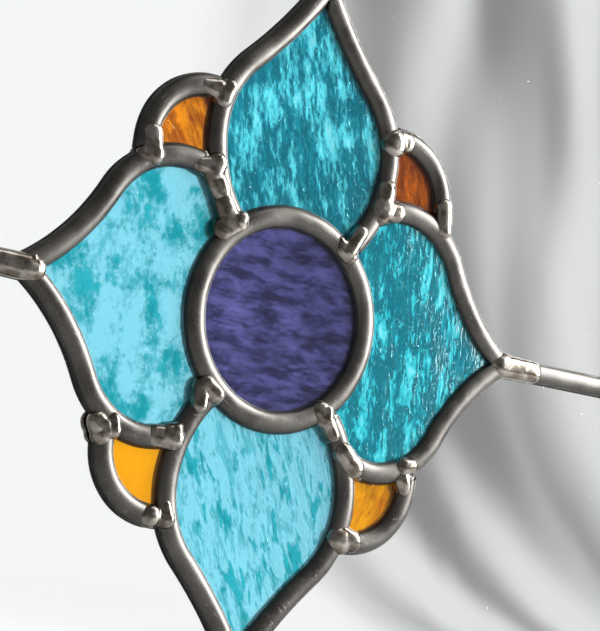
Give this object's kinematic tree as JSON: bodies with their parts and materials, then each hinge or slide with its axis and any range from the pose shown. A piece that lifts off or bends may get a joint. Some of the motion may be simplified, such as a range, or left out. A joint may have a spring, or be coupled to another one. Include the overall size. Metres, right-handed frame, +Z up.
{
  "type": "stained glass door panel",
  "caption": "Leaded stained glass panel for a door: a turquoise and amber flower round a purple roundel, set in clear glass, with soldered round lead cames and a flat lead border.",
  "frame": {"origin": "middle of the bottom edge of the border, halfway through the glass", "axes": "+Z up the panel, +X to the right as seen from the front, -Y towards the front; the panel lies in the XZ plane"},
  "size_m": [0.38, 0.0114, 0.44],
  "materials": {
    "lead": "dark tarnished lead, softly polished on the rounded leaves",
    "solder": "bright tin-lead solder, smooth, with rounded reflections",
    "purple_glass": "streaky indigo-purple glass",
    "turquoise_glass": "mottled two-tone turquoise glass with small seeds",
    "amber_glass": "streaky amber glass",
    "clear_glass": "clear glass with a faint ripple"
  },
  "bodies": {
    "root": {"roundel_glass": "purple_glass", "petal_glass_top": "turquoise_glass", "petal_glass_bottom": "turquoise_glass", "petal_glass_left": "turquoise_glass", "petal_glass_right": "turquoise_glass", "corner_glass_top_left": "amber_glass", "corner_glass_top_right": "amber_glass", "corner_glass_bottom_left": "amber_glass", "corner_glass_bottom_right": "amber_glass", "clear_glass_top_left": "clear_glass", "clear_glass_top_right": "clear_glass", "clear_glass_bottom_left": "clear_glass", "clear_glass_bottom_right": "clear_glass", "ring_came": "lead", "petal_came_top_left": "lead", "petal_came_top_right": "lead", "petal_came_bottom_left": "lead", "petal_came_bottom_right": "lead", "petal_came_left_top": "lead", "petal_came_left_bottom": "lead", "petal_came_right_top": "lead", "petal_came_right_bottom": "lead", "corner_came_top_left": "lead", "corner_came_top_right": "lead", "corner_came_bottom_left": "lead", "corner_came_bottom_right": "lead", "straight_came_top": "lead", "straight_came_bottom": "lead", "straight_came_left": "lead", "straight_came_right": "lead", "border_came_top": "lead", "border_came_bottom": "lead", "border_came_left": "lead", "border_came_right": "lead", "solder_ring_top_left": "solder", "solder_ring_top_right": "solder", "solder_ring_bottom_left": "solder", "solder_ring_bottom_right": "solder", "solder_petal_top_left": "solder", "solder_petal_top_right": "solder", "solder_petal_bottom_left": "solder", "solder_petal_bottom_right": "solder", "solder_arc_high_top_left": "solder", "solder_arc_high_top_right": "solder", "solder_arc_high_bottom_left": "solder", "solder_arc_high_bottom_right": "solder", "solder_arc_low_top_left": "solder", "solder_arc_low_top_right": "solder", "solder_arc_low_bottom_left": "solder", "solder_arc_low_bottom_right": "solder", "solder_tip_top": "solder", "solder_tip_bottom": "solder", "solder_tip_left": "solder", "solder_tip_right": "solder"}
  },
  "joints": []
}
